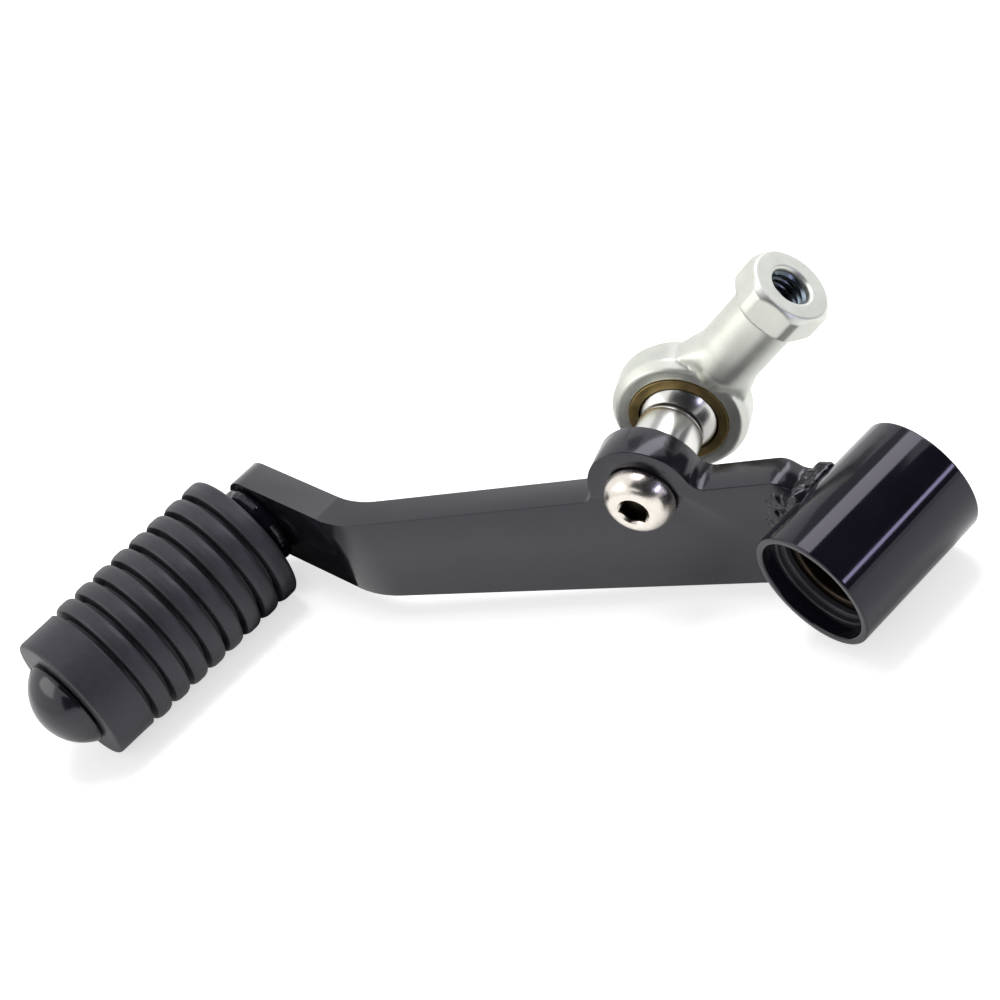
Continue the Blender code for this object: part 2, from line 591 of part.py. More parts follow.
boolean(rod_end_housing, shank, "UNION")
boolean(rod_end_housing, hex_end, "UNION")
boolean(rod_end_housing, race_bore, "DIFFERENCE")
boolean(rod_end_housing, rod_socket, "DIFFERENCE")
finish(rod_end_housing)

half_race = RACE_WIDTH / 2
seat_angle = math.asin(half_race / RACE_SEAT)
seat = arc((0, 0), RACE_SEAT, -seat_angle, seat_angle, 6)
rod_end_race = turned("rod_end_race", [(RACE_RADIUS, half_race), (RACE_RADIUS, -half_race)] + seat, eye_axis,
                      colour=BRONZE, ring=True)
finish(rod_end_race, sharp=50)
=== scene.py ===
"""A motorcycle's gear shift lever: folded steel arm, welded sleeve, ribbed toe peg and rod end."""
import math
import random

import bmesh
import bpy
from mathutils import Matrix, Vector, noise


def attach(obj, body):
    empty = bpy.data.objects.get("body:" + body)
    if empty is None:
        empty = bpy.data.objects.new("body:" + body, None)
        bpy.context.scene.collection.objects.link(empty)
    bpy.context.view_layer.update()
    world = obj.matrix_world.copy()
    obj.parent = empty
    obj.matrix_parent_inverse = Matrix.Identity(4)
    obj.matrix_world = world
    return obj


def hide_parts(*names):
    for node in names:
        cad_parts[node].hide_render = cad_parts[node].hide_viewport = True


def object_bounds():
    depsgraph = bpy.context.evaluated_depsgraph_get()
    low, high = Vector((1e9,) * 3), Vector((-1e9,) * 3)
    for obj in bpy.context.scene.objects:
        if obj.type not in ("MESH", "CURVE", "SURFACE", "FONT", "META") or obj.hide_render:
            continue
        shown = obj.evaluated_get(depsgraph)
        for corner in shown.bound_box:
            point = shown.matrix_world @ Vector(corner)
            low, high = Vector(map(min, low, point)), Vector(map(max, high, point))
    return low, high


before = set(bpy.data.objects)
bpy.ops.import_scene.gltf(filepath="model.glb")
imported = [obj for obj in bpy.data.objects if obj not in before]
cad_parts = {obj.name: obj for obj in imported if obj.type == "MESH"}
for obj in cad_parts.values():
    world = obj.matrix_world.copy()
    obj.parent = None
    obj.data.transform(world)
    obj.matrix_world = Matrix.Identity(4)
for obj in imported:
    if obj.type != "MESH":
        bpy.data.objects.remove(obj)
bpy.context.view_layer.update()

MM = 0.001
UP = Vector((0, 0, 1))
ROUND = 112                             # sides of a turned piece
GAP = 0.3 * MM                          # left between the faces of pieces that touch

# pivot sleeve, with the seals and the bush that line it
SLEEVE_RADIUS = 9.5 * MM
SLEEVE_LENGTH = 23.5 * MM
SLEEVE_BORE_RADIUS = 8.35 * MM
LINING_RADIUS = 8.3 * MM
SEAL_DEPTH = 2.3 * MM
SEAL_WIDTH = 1.9 * MM
OUTER_LIP_RADIUS = 7.7 * MM
INNER_LIP_RADIUS = 7.2 * MM
INNER_LIP_DEPTH = 0.95 * MM
BOLT_RADIUS = 6.0 * MM

# arm
LEAN = math.radians(25.5)
PLATE_THICKNESS = 5.2 * MM
PLATE_START = 5.0 * MM
ROOT_HEIGHT = 19.4 * MM
ROOT_DROP = 3.0 * MM
ROOT_CORNER = 2.0 * MM
ROOT_CLEARANCE = 1.1 * MM
EDGE_EASE = 0.55 * MM
TIP_HEIGHT = 15.2 * MM
BEND_DISTANCE = 86.0 * MM
BEND_OUTER_RADIUS = 23.2 * MM
PEG_DISTANCE = 27.0 * MM
EAR_DISTANCE = 31.4 * MM
EAR_HEIGHT = 9.3 * MM
EAR_RADIUS = 8.0 * MM
EAR_FILLET = 2.2 * MM
ARM_FOOT = Vector((0, 1.05 * MM, 0))
ALONG_ARM = Vector((-math.cos(LEAN), -math.sin(LEAN), 0))
BEHIND_ARM = Vector((-math.sin(LEAN), math.cos(LEAN), 0))
EAR_CENTRE = ARM_FOOT + ALONG_ARM * EAR_DISTANCE + UP * EAR_HEIGHT
PEG_CENTRE = ARM_FOOT + ALONG_ARM * BEND_DISTANCE + Vector((-PEG_DISTANCE, 0, 0))
BEND_TANGENT = BEND_OUTER_RADIUS * math.tan(LEAN / 2)
BEND_START = BEND_DISTANCE - BEND_TANGENT
BEND_END = BEND_START + BEND_OUTER_RADIUS * LEAN

# link hardware, in order behind the ear
SCREW_RADIUS = 3.0 * MM
SCREW_HOLE_RADIUS = 3.3 * MM
THREAD_PITCH = 1 * MM
HEAD_RADIUS = 5.2 * MM
HEAD_HEIGHT = 3.3 * MM
HEAD_CROWN_RADIUS = 2.9 * MM
SOCKET_TURN = math.radians(8)
SPACER_RADIUS = 4.8 * MM
SPACER_END_RADIUS = 4.35 * MM
SPACER_START = 5.5 * MM
SPACER_LENGTH = 8.0 * MM
BALL_RADIUS = 6.45 * MM
BALL_WIDTH = 9.0 * MM
BALL_DISTANCE = 18.3 * MM
SPACER_CHAMFER = 0.9 * MM
NUT_START = 23.1 * MM
NUT_HEIGHT = 3.2 * MM
NUT_FLATS = 10 * MM
NUT_CORNER_RADIUS = 5.85 * MM
NUT_FACE_RADIUS = 4.8 * MM
NUT_BORE_RADIUS = 2.95 * MM
SCREW_END = 26.9 * MM
BALL_CENTRE = EAR_CENTRE + BEHIND_ARM * BALL_DISTANCE

# rod end
RACE_RADIUS = 7.2 * MM
EYE_RADIUS = 9.9 * MM
EYE_FACE_RADIUS = 9.0 * MM
EYE_WIDTH = 6.6 * MM
EYE_LAND = 3.6 * MM
SHANK_RADIUS = 4.9 * MM
NECK_END = 12.5 * MM                    # where the flare from the eye has run into the shank
SOCKET_RADIUS = 3.0 * MM
HEX_FLATS = 12.0 * MM
HEX_CORNER_RADIUS = 6.55 * MM
HEX_LENGTH = 4.9 * MM
ROD_END_LENGTH = 28.0 * MM
ROD_YAW = math.radians(34.8)
ROD_RISE = math.radians(34.7)
ROD_ROLL = math.radians(4.1)
ROD_ALONG = Vector((math.cos(ROD_RISE) * math.cos(ROD_YAW), math.cos(ROD_RISE) * math.sin(ROD_YAW),
                    math.sin(ROD_RISE)))
EYE_ALONG = Matrix.Rotation(ROD_ROLL, 3, ROD_ALONG) @ (
    BEHIND_ARM - ROD_ALONG * BEHIND_ARM.dot(ROD_ALONG)).normalized()


def axis(origin, along, across=UP):
    """A frame whose Z runs along the given direction and whose X leans to the other."""
    z = along.normalized()
    y = z.cross(across).normalized()
    x = y.cross(z)
    return Matrix.Translation(origin) @ Matrix((x, y, z)).transposed().to_4x4()


SLEEVE_AXIS = axis(Vector(), Vector((0, -1, 0)))
PEG_AXIS = axis(PEG_CENTRE, Vector((0, -1, 0)))
EAR_AXIS = axis(EAR_CENTRE, BEHIND_ARM)
BALL_AXIS = axis(BALL_CENTRE, BEHIND_ARM)
EYE_AXIS = axis(BALL_CENTRE, EYE_ALONG, ROD_ALONG)
SHANK_AXIS = axis(BALL_CENTRE, ROD_ALONG)


# Finishes

def paint_chip(code):
    """A colour written as on a paint chip, turned to the light values the shader works in."""
    parts = [int(code[i:i + 2], 16) / 255 for i in (0, 2, 4)]
    return (*[v / 12.92 if v <= 0.04045 else ((v + 0.055) / 1.055) ** 2.4 for v in parts], 1)


def add(tree, kind, inputs, **settings):
    """One node with its settings, its values and its links."""
    made = tree.nodes.new(kind)
    for name, value in settings.items():
        setattr(made, name, value)
    for socket, value in inputs.items():
        if isinstance(value, bpy.types.NodeSocket):
            tree.links.new(value, made.inputs[socket])
        else:
            made.inputs[socket].default_value = value
    return made


def begin(name):
    """A new material with its tree, its shader and the place on the piece that patterns follow."""
    made = bpy.data.materials.new(name)
    made.use_nodes = True
    tree = made.node_tree
    place = add(tree, "ShaderNodeTexCoord", {}).outputs["Object"]
    return made, tree, tree.nodes["Principled BSDF"], place


def per(size):
    """Pattern scale for features of a real size."""
    return 1 / size


# Semi-gloss black enamel, sprayed on laser-cut plate: faint orange peel, slightly uneven sheen and
# a trace of violet in its shine.
enamel, tree, shader, place = begin("sprayed_black_enamel")
cloud = add(tree, "ShaderNodeTexNoise", {"Vector": place, "Scale": per(9 * MM), "Detail": 4.0,
                                         "Roughness": 0.6})
tint = add(tree, "ShaderNodeMix", {"Factor": cloud.outputs["Fac"], 6: paint_chip("131217"),
                                   7: paint_chip("1c1b20")}, data_type="RGBA")
sheen_map = add(tree, "ShaderNodeMapRange", {"Value": cloud.outputs["Fac"], "To Min": 0.12,
                                             "To Max": 0.19})
peel = add(tree, "ShaderNodeTexNoise", {"Vector": place, "Scale": per(0.9 * MM), "Detail": 2.0})
bump = add(tree, "ShaderNodeBump", {"Height": peel.outputs["Fac"], "Strength": 0.12,
                                    "Distance": 0.04 * MM})
tree.links.new(tint.outputs[2], shader.inputs["Base Color"])
tree.links.new(sheen_map.outputs["Result"], shader.inputs["Roughness"])
tree.links.new(bump.outputs["Normal"], shader.inputs["Normal"])
shader.inputs["IOR"].default_value = 1.6
shader.inputs["Specular Tint"].default_value = (0.93, 0.92, 1, 1)

# Gloss black stoved paint on the turned tube: long clean reflections, faintly violet, with a trace
# of peel.
gloss, tree, shader, place = begin("stoved_gloss_black")
cloud = add(tree, "ShaderNodeTexNoise", {"Vector": place, "Scale": per(6 * MM), "Detail": 3.0})
tint = add(tree, "ShaderNodeMix", {"Factor": cloud.outputs["Fac"], 6: paint_chip("0c0b11"),
                                   7: paint_chip("15131c")}, data_type="RGBA")
sheen_map = add(tree, "ShaderNodeMapRange", {"Value": cloud.outputs["Fac"], "To Min": 0.07,
                                             "To Max": 0.12})
peel = add(tree, "ShaderNodeTexNoise", {"Vector": place, "Scale": per(1.6 * MM), "Detail": 1.0})
bump = add(tree, "ShaderNodeBump", {"Height": peel.outputs["Fac"], "Strength": 0.05,
                                    "Distance": 0.03 * MM})
tree.links.new(tint.outputs[2], shader.inputs["Base Color"])
tree.links.new(sheen_map.outputs["Result"], shader.inputs["Roughness"])
tree.links.new(bump.outputs["Normal"], shader.inputs["Normal"])
shader.inputs["IOR"].default_value = 1.5
shader.inputs["Specular Tint"].default_value = (0.92, 0.89, 1, 1)

# Moulded black rubber: matt, a little greyer where fingers and boots have rubbed. Its mould grain,
# drawn slightly coarser than real, scatters part of the shine.
rubber, tree, shader, place = begin("moulded_black_rubber")
cloud = add(tree, "ShaderNodeTexNoise", {"Vector": place, "Scale": per(5 * MM), "Detail": 5.0,
                                         "Roughness": 0.65})
tint = add(tree, "ShaderNodeMix", {"Factor": cloud.outputs["Fac"], 6: paint_chip("1f1e23"),
                                   7: paint_chip("37363a")}, data_type="RGBA")
grain = add(tree, "ShaderNodeTexNoise", {"Vector": place, "Scale": per(0.5 * MM), "Detail": 3.0})
bump = add(tree, "ShaderNodeBump", {"Height": grain.outputs["Fac"], "Strength": 0.45,
                                    "Distance": 0.08 * MM})
tree.links.new(tint.outputs[2], shader.inputs["Base Color"])
tree.links.new(bump.outputs["Normal"], shader.inputs["Normal"])
shader.inputs["Roughness"].default_value = 0.42
shader.inputs["IOR"].default_value = 1.52
shader.inputs["Specular Tint"].default_value = (0.7, 0.69, 0.8, 1)

# Pale bright zinc plate over a forging: silvery white with soft clouds and small hammered dents.
zinc, tree, shader, place = begin("bright_zinc_plate")
cloud = add(tree, "ShaderNodeTexNoise", {"Vector": place, "Scale": per(3.5 * MM), "Detail": 5.0,
                                         "Roughness": 0.6})
tint = add(tree, "ShaderNodeMix", {"Factor": cloud.outputs["Fac"], 6: paint_chip("cdd0c8"),
                                   7: paint_chip("f0f2ea")}, data_type="RGBA")
sheen_map = add(tree, "ShaderNodeMapRange", {"Value": cloud.outputs["Fac"], "To Min": 0.35,
                                             "To Max": 0.5})
dents = add(tree, "ShaderNodeTexNoise", {"Vector": place, "Scale": per(1.3 * MM), "Detail": 3.0})
bump = add(tree, "ShaderNodeBump", {"Height": dents.outputs["Fac"], "Strength": 0.25,
                                    "Distance": 0.08 * MM})
tree.links.new(tint.outputs[2], shader.inputs["Base Color"])
tree.links.new(sheen_map.outputs["Result"], shader.inputs["Roughness"])
tree.links.new(bump.outputs["Normal"], shader.inputs["Normal"])
shader.inputs["Metallic"].default_value = 1.0

# Chrome plate over turned steel: bright but a little soft, with hair-fine turning marks under it.
chrome, tree, shader, place = begin("chrome_over_turned_steel")
along = add(tree, "ShaderNodeVectorMath", {0: place, 1: BEHIND_ARM}, operation="DOT_PRODUCT")
rings = add(tree, "ShaderNodeTexNoise", {"W": along.outputs["Value"], "Scale": per(0.25 * MM),
                                         "Detail": 2.0}, noise_dimensions="1D")
bump = add(tree, "ShaderNodeBump", {"Height": rings.outputs["Fac"], "Strength": 0.06,
                                    "Distance": 0.02 * MM})
tint = add(tree, "ShaderNodeMix", {"Factor": rings.outputs["Fac"], 6: paint_chip("dddcd8"),
                                   7: paint_chip("f1f0ec")}, data_type="RGBA")
tree.links.new(tint.outputs[2], shader.inputs["Base Color"])
tree.links.new(bump.outputs["Normal"], shader.inputs["Normal"])
shader.inputs["Metallic"].default_value = 1.0
shader.inputs["Roughness"].default_value = 0.24

# Tumbled stainless: warm grey shine, softened by very small scratches.
stainless, tree, shader, place = begin("tumbled_stainless")
cloud = add(tree, "ShaderNodeTexNoise", {"Vector": place, "Scale": per(1.2 * MM), "Detail": 4.0})
tint = add(tree, "ShaderNodeMix", {"Factor": cloud.outputs["Fac"], 6: paint_chip("ded6ca"),
                                   7: paint_chip("f8f2ea")}, data_type="RGBA")
sheen_map = add(tree, "ShaderNodeMapRange", {"Value": cloud.outputs["Fac"], "To Min": 0.2,
                                             "To Max": 0.32})
bump = add(tree, "ShaderNodeBump", {"Height": cloud.outputs["Fac"], "Strength": 0.05,
                                    "Distance": 0.03 * MM})
tree.links.new(tint.outputs[2], shader.inputs["Base Color"])
tree.links.new(sheen_map.outputs["Result"], shader.inputs["Roughness"])
tree.links.new(bump.outputs["Normal"], shader.inputs["Normal"])
shader.inputs["Metallic"].default_value = 1.0

# Oiled bronze: brown-olive, darker where grease has stayed.
bronze, tree, shader, place = begin("oiled_bronze")
cloud = add(tree, "ShaderNodeTexNoise", {"Vector": place, "Scale": per(2 * MM), "Detail": 4.0})
tint = add(tree, "ShaderNodeMix", {"Factor": cloud.outputs["Fac"], 6: paint_chip("74633e"),
                                   7: paint_chip("bba470")}, data_type="RGBA")
sheen_map = add(tree, "ShaderNodeMapRange", {"Value": cloud.outputs["Fac"], "To Min": 0.3,
                                             "To Max": 0.5})
bump = add(tree, "ShaderNodeBump", {"Height": cloud.outputs["Fac"], "Strength": 0.1,
                                    "Distance": 0.05 * MM})
tree.links.new(tint.outputs[2], shader.inputs["Base Color"])
tree.links.new(sheen_map.outputs["Result"], shader.inputs["Roughness"])
tree.links.new(bump.outputs["Normal"], shader.inputs["Normal"])
shader.inputs["Metallic"].default_value = 1.0

# Sintered iron steeped in old oil, for the bush: near black, with a brown cast.
# The same dark finish lines the screw's socket as painted shade.
oil_and_shade_dark, tree, shader, place = begin("oil_steeped_iron_and_painted_shade")
cloud = add(tree, "ShaderNodeTexNoise", {"Vector": place, "Scale": per(1.5 * MM), "Detail": 4.0})
tint = add(tree, "ShaderNodeMix", {"Factor": cloud.outputs["Fac"], 6: paint_chip("221e1a"),
                                   7: paint_chip("483f36")}, data_type="RGBA")
pores = add(tree, "ShaderNodeTexNoise", {"Vector": place, "Scale": per(0.3 * MM), "Detail": 2.0})
bump = add(tree, "ShaderNodeBump", {"Height": pores.outputs["Fac"], "Strength": 0.2,
                                    "Distance": 0.03 * MM})
tree.links.new(tint.outputs[2], shader.inputs["Base Color"])
tree.links.new(bump.outputs["Normal"], shader.inputs["Normal"])
shader.inputs["Metallic"].default_value = 1.0
shader.inputs["Roughness"].default_value = 0.4

# Cut thread in the socket: dark cool steel, lighter in random patches, with glints on its crests.
# Its dark steel is painted shade for the depth of the threaded hole.
thread_shade_steel, tree, shader, place = begin("cut_thread_painted_shade")
cloud = add(tree, "ShaderNodeTexNoise", {"Vector": place, "Scale": per(0.8 * MM), "Detail": 3.0})
tint = add(tree, "ShaderNodeMix", {"Factor": cloud.outputs["Fac"], 6: paint_chip("3c464d"),
                                   7: paint_chip("7b878c")}, data_type="RGBA")
bump = add(tree, "ShaderNodeBump", {"Height": cloud.outputs["Fac"], "Strength": 0.1,
                                    "Distance": 0.03 * MM})
tree.links.new(tint.outputs[2], shader.inputs["Base Color"])
tree.links.new(bump.outputs["Normal"], shader.inputs["Normal"])
shader.inputs["Metallic"].default_value = 1.0
shader.inputs["Roughness"].default_value = 0.3


# Ways of making a piece

def arc(centre, radius, start, end, steps):
    """Points along an arc between two angles, its ends among them."""
    cx, cy = centre
    angles = [start + (end - start) * i / steps for i in range(steps + 1)]
    return [(cx + radius * math.cos(a), cy + radius * math.sin(a)) for a in angles]


def eased(outline, closed=True, steps=4):
    """A profile with rounded corners, from (radius, height) or (radius, height, rounding)."""
    made = []
    count = len(outline)
    for index, point in enumerate(outline):
        here = Vector(point[:2])
        rounding = point[2] if len(point) > 2 else 0
        ends = not closed and index in (0, count - 1)
        if ends or not rounding:
            made.append(here)
            continue
        before = (Vector(outline[index - 1][:2]) - here).normalized()
        after = (Vector(outline[(index + 1) % count][:2]) - here).normalized()
        for step in range(steps + 1):
            share = step / steps
            a, b = here + before * rounding, here + after * rounding
            made.append(a * (1 - share) ** 2 + here * 2 * share * (1 - share) + b * share ** 2)
    return [tuple(p) for p in made]


def new_piece(name, mesh, place, body, finish, slot, *nodes, sharp=30):
    """Puts a finished mesh in its place, on its body, in place of the nodes it stands for."""
    mesh.transform(place)
    made = bpy.data.objects.new(name, mesh)
    bpy.context.scene.collection.objects.link(made)
    mesh.materials.clear()
    mesh.materials.append(finish)
    mesh.shade_smooth()
    mesh.set_sharp_from_angle(angle=math.radians(sharp))
    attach(made, body)
    if nodes:
        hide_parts(*nodes)


def turned_mesh(name, outline, closed=True, sides=ROUND):
    """A profile of (radius, height) turned round Z. An open one starts and ends on the axis."""
    work = bmesh.new()
    rings = []
    for radius, height in outline:
        if radius < 1e-9:
            rings.append([work.verts.new((0, 0, height))] * sides)
        else:
            rings.append([work.verts.new((radius * math.cos(2 * math.pi * i / sides),
                                          radius * math.sin(2 * math.pi * i / sides), height))
                          for i in range(sides)])
    pairs = list(zip(rings, rings[1:])) + ([(rings[-1], rings[0])] if closed else [])
    for low, high in pairs:
        for i in range(sides):
            j = (i + 1) % sides
            corners = list(dict.fromkeys((low[i], low[j], high[j], high[i])))
            if len(corners) > 2:
                work.faces.new(corners)
    bmesh.ops.recalc_face_normals(work, faces=work.faces)
    mesh = bpy.data.meshes.new(name)
    work.to_mesh(mesh)
    work.free()
    return mesh


def prism_mesh(name, flats, low, high, turn=0.0):
    """A length of hexagon bar along Z, by its width across flats, turned about Z."""
    work = bmesh.new()
    bmesh.ops.create_cone(work, cap_ends=True, segments=6, radius1=flats / math.sqrt(3),
                          radius2=flats / math.sqrt(3), depth=high - low)
    place = Matrix.Translation((0, 0, (low + high) / 2)) @ Matrix.Rotation(turn, 4, "Z")
    bmesh.ops.transform(work, verts=work.verts, matrix=place)
    mesh = bpy.data.meshes.new(name)
    work.to_mesh(mesh)
    work.free()
    return mesh


def combined(base, steps, place=None, extra=()):
    """The base mesh after boolean steps (operation, mesh, place) and then extra modifiers."""
    first = bpy.data.objects.new("blank", base)
    bpy.context.scene.collection.objects.link(first)
    first.matrix_world = place or Matrix.Identity(4)
    helpers = [first]
    for operation, mesh, where in steps:
        helper = bpy.data.objects.new("cut", mesh)
        bpy.context.scene.collection.objects.link(helper)
        helper.matrix_world = where
        helpers.append(helper)
        step = first.modifiers.new("step", "BOOLEAN")
        step.operation, step.solver, step.object = operation, "EXACT", helper
    for kind, settings in extra:
        step = first.modifiers.new("step", kind)
        for key, value in settings.items():
            setattr(step, key, value)
    bpy.context.view_layer.update()
    finished = first.evaluated_get(bpy.context.evaluated_depsgraph_get())
    made = bpy.data.meshes.new_from_object(finished)
    for helper in helpers:
        bpy.data.objects.remove(helper, do_unlink=True)
    return made


def melted(mesh, centre, reach, bore, times):
    """Runs corners near a place smooth, as a forging's are, but not within a bore along Z."""
    work = bmesh.new()
    work.from_mesh(mesh)
    near = [v for v in work.verts if (v.co - centre).length < reach and v.co.xy.length > bore]
    for _ in range(times):
        bmesh.ops.smooth_vert(work, verts=near, factor=0.5, use_axis_x=True, use_axis_y=True,
                              use_axis_z=True)
    work.to_mesh(mesh)
    work.free()
    return mesh


def thread_mesh(name, root, crest, low, high, pitch, sides=48):
    """A helical ridge from the root radius to the crest, fading out at both ends."""
    work = bmesh.new()
    total = int(((high - low) / pitch - 1) * sides)
    half = pitch * 0.46                 # just under half, so that the turns stay apart
    rows = []
    for index in range(total + 1):
        angle = 2 * math.pi * index / sides
        height = low + pitch / 2 + pitch * index / sides
        fade = min(1, index / (sides / 3), (total - index) / (sides / 3))
        tip = root + (crest - root) * max(fade, 0.05)
        c, s = math.cos(angle), math.sin(angle)
        rows.append([work.verts.new((r * c, r * s, height + z)) for r, z in
                     ((root, -half), (tip, -half * 0.2), (tip, half * 0.2), (root, half))])
    for a, b in zip(rows, rows[1:]):
        for i in range(4):
            j = (i + 1) % 4
            work.faces.new((a[i], a[j], b[j], b[i]))
    work.faces.new(rows[0])
    work.faces.new(rows[-1])
    bmesh.ops.recalc_face_normals(work, faces=work.faces)
    mesh = bpy.data.meshes.new(name)
    work.to_mesh(mesh)
    work.free()
    return mesh


# Arm: flat blank, folded at the bend, with eased edges

def upper_edge(distance):
    """Height of the tapering arm's upper edge at a distance from the sleeve's axis."""
    share = min(distance / BEND_START, 1)
    return (ROOT_HEIGHT + (TIP_HEIGHT - ROOT_HEIGHT) * share) / 2


def plate_end():
    """Upper corner of the plate's end, cut back beside the sleeve and rounded off."""
    root = upper_edge(PLATE_START)
    full = SLEEVE_RADIUS + ROOT_CLEARANCE
    beyond = full + 2.5 * MM
    return eased([(PLATE_START, root - ROOT_DROP),
                  (full - ROOT_CORNER, root - ROOT_DROP * 0.8, 0.7 * MM),
                  (full, upper_edge(full), 1.3 * MM), (beyond, upper_edge(beyond))], closed=False)


def ear_outline():
    """The ear's round head with a fillet at each side, along the arm's tapering edge."""
    taper = math.atan((ROOT_HEIGHT - TIP_HEIGHT) / 2 / BEND_START)
    rise = (EAR_HEIGHT - upper_edge(EAR_DISTANCE)) * math.cos(taper)
    between = EAR_RADIUS + EAR_FILLET
    reach = math.sqrt(between ** 2 - (EAR_FILLET - rise) ** 2)
    lean = math.atan2(EAR_FILLET - rise, reach)
    square = math.pi / 2
    centres = [(EAR_DISTANCE + between * math.cos(a), EAR_HEIGHT + between * math.sin(a))
               for a in (math.pi - lean - taper, lean - taper)]
    near = arc(centres[0], EAR_FILLET, -square - taper, -lean - taper, 12)
    over = arc((EAR_DISTANCE, EAR_HEIGHT), EAR_RADIUS, math.pi - lean - taper, lean - taper, 72)
    far = arc(centres[1], EAR_FILLET, math.pi + lean - taper, 3 * square - taper, 12)
    return near + over[1:-1] + far


def fold(point):
    """Where a point of the flat blank's front face goes when the blank is folded at the bend."""
    distance, height = point
    if distance <= BEND_START:
        place = ARM_FOOT + ALONG_ARM * distance
    else:
        turn = min((distance - BEND_START) / BEND_OUTER_RADIUS, LEAN)
        centre = ARM_FOOT + ALONG_ARM * BEND_START + BEHIND_ARM * BEND_OUTER_RADIUS
        place = centre + Matrix.Rotation(-turn, 3, "Z") @ (-BEHIND_ARM * BEND_OUTER_RADIUS)
        place.x -= max(distance - BEND_END, 0)
    return Vector((place.x, place.y, height))


peg_flat = BEND_END + PEG_DISTANCE - BEND_TANGENT
tip = arc((peg_flat, 0), TIP_HEIGHT / 2, math.pi / 2, -math.pi / 2, 48)
blank = [(s, -z) for s, z in reversed(plate_end())] + plate_end()
blank += ear_outline() + [(BEND_START, TIP_HEIGHT / 2)] + tip + [(BEND_START, -TIP_HEIGHT / 2)]
work = bmesh.new()
work.faces.new([work.verts.new((s, z, 0)) for s, z in blank])
bend_steps = 24
for step in range(bend_steps + 1):
    cut_at = BEND_START + (BEND_END - BEND_START) * step / bend_steps
    bmesh.ops.bisect_plane(work, geom=work.verts[:] + work.edges[:] + work.faces[:],
                           dist=0.001 * MM, plane_co=(cut_at, 0, 0), plane_no=(1, 0, 0))
for corner in work.verts:
    corner.co = fold((corner.co.x, corner.co.y))
arm_mesh = bpy.data.meshes.new("arm")
work.to_mesh(arm_mesh)
work.free()
arm_mesh = combined(arm_mesh, [], extra=[
    ("SOLIDIFY", {"thickness": PLATE_THICKNESS, "offset": -1, "use_even_offset": True})])
saddle_radius = SLEEVE_RADIUS + 0.05 * MM
round_cut = turned_mesh("cut", [(0, -20 * MM), (saddle_radius, -20 * MM), (saddle_radius, 20 * MM),
                                (0, 20 * MM)], closed=False)
ear_cut = turned_mesh("cut", [(0, -9 * MM), (SCREW_HOLE_RADIUS, -9 * MM),
                              (SCREW_HOLE_RADIUS, 12 * MM), (0, 12 * MM)], closed=False)
arm_cuts = [("DIFFERENCE", round_cut, SLEEVE_AXIS), ("DIFFERENCE", ear_cut, EAR_AXIS)]
arm_mesh = combined(arm_mesh, arm_cuts, extra=[
    ("BEVEL", {"width": EDGE_EASE, "segments": 4, "limit_method": "ANGLE",
               "angle_limit": math.radians(40), "harden_normals": True,
               "use_clamp_overlap": True})])
new_piece("folded_arm", arm_mesh, Matrix.Identity(4), "lever", enamel, "black_paint", "arm_plate",
          sharp=45)

# Pivot sleeve with eased rims, seals and bush
half = SLEEVE_LENGTH / 2
sleeve = eased([(SLEEVE_RADIUS, half, 0.35 * MM), (SLEEVE_RADIUS, -half, 0.35 * MM),
                (SLEEVE_BORE_RADIUS, -half, 0.3 * MM), (SLEEVE_BORE_RADIUS, half, 0.3 * MM)])
new_piece("turned_pivot_sleeve", turned_mesh("sleeve", sleeve, sides=160), SLEEVE_AXIS, "lever",
          gloss, "gloss_black_paint", "pivot_sleeve")
# Each seal has an outer lip at its front and an inner one further down, both rounded.
seal = eased([(LINING_RADIUS, -0.1 * MM), (LINING_RADIUS, -SEAL_WIDTH),
              (INNER_LIP_RADIUS, -SEAL_WIDTH, 0.1 * MM),
              (INNER_LIP_RADIUS, -INNER_LIP_DEPTH, 0.4 * MM),
              (OUTER_LIP_RADIUS + 0.05 * MM, -INNER_LIP_DEPTH, 0.12 * MM),
              (OUTER_LIP_RADIUS, 0, 0.35 * MM)], steps=6)
for name, turn, node in (("front_dust_seal", 0, "dust_seal_front"),
                         ("back_dust_seal", math.pi, "dust_seal_back")):
    at = SLEEVE_AXIS @ Matrix.Rotation(turn, 4, "X")
    at = at @ Matrix.Translation((0, 0, half - SEAL_DEPTH))
    new_piece(name, turned_mesh(name, seal), at, "lever", rubber, "black_rubber", node)
bush_half = half - SEAL_DEPTH - SEAL_WIDTH - 0.1 * MM
bush = eased([(LINING_RADIUS, bush_half), (LINING_RADIUS, -bush_half),
              (BOLT_RADIUS, -bush_half, 0.5 * MM), (BOLT_RADIUS, bush_half, 0.5 * MM)])
new_piece("pressed_bush", turned_mesh("bush", bush), SLEEVE_AXIS, "lever", oil_and_shade_dark, "bronze",
          "pivot_bush")


# Weld round the end of the arm: overlapping drops, run together

def weld_point(climb, across):
    """Where the plate meets the sleeve: a climb round the sleeve, and 0 to 1 across the plate."""
    x = -SLEEVE_RADIUS * math.cos(climb)
    y = ARM_FOOT.y + x * math.tan(LEAN) + across * PLATE_THICKNESS / math.cos(LEAN)
    return Vector((x, y, SLEEVE_RADIUS * math.sin(climb)))


def drops(name, places, rough=1.0):
    """Overlapping drops of metal melted into one bead, with large and small waves on its skin."""
    work = bmesh.new()
    for centre, radius in places:
        bmesh.ops.create_icosphere(work, subdivisions=3, radius=radius,
                                   matrix=Matrix.Translation(centre))
    mesh = bpy.data.meshes.new(name)
    work.to_mesh(mesh)
    work.free()
    mesh = combined(mesh, [], extra=[
        ("REMESH", {"mode": "VOXEL", "voxel_size": 0.22 * MM}),
        ("SMOOTH", {"factor": 0.5, "iterations": 9})])
    for corner in mesh.vertices:
        wave = (noise.noise(corner.co * per(1.4 * MM)) * 0.22
                + noise.noise(corner.co * per(0.7 * MM)) * 0.1)
        corner.co += corner.normal * wave * rough * MM
    return mesh


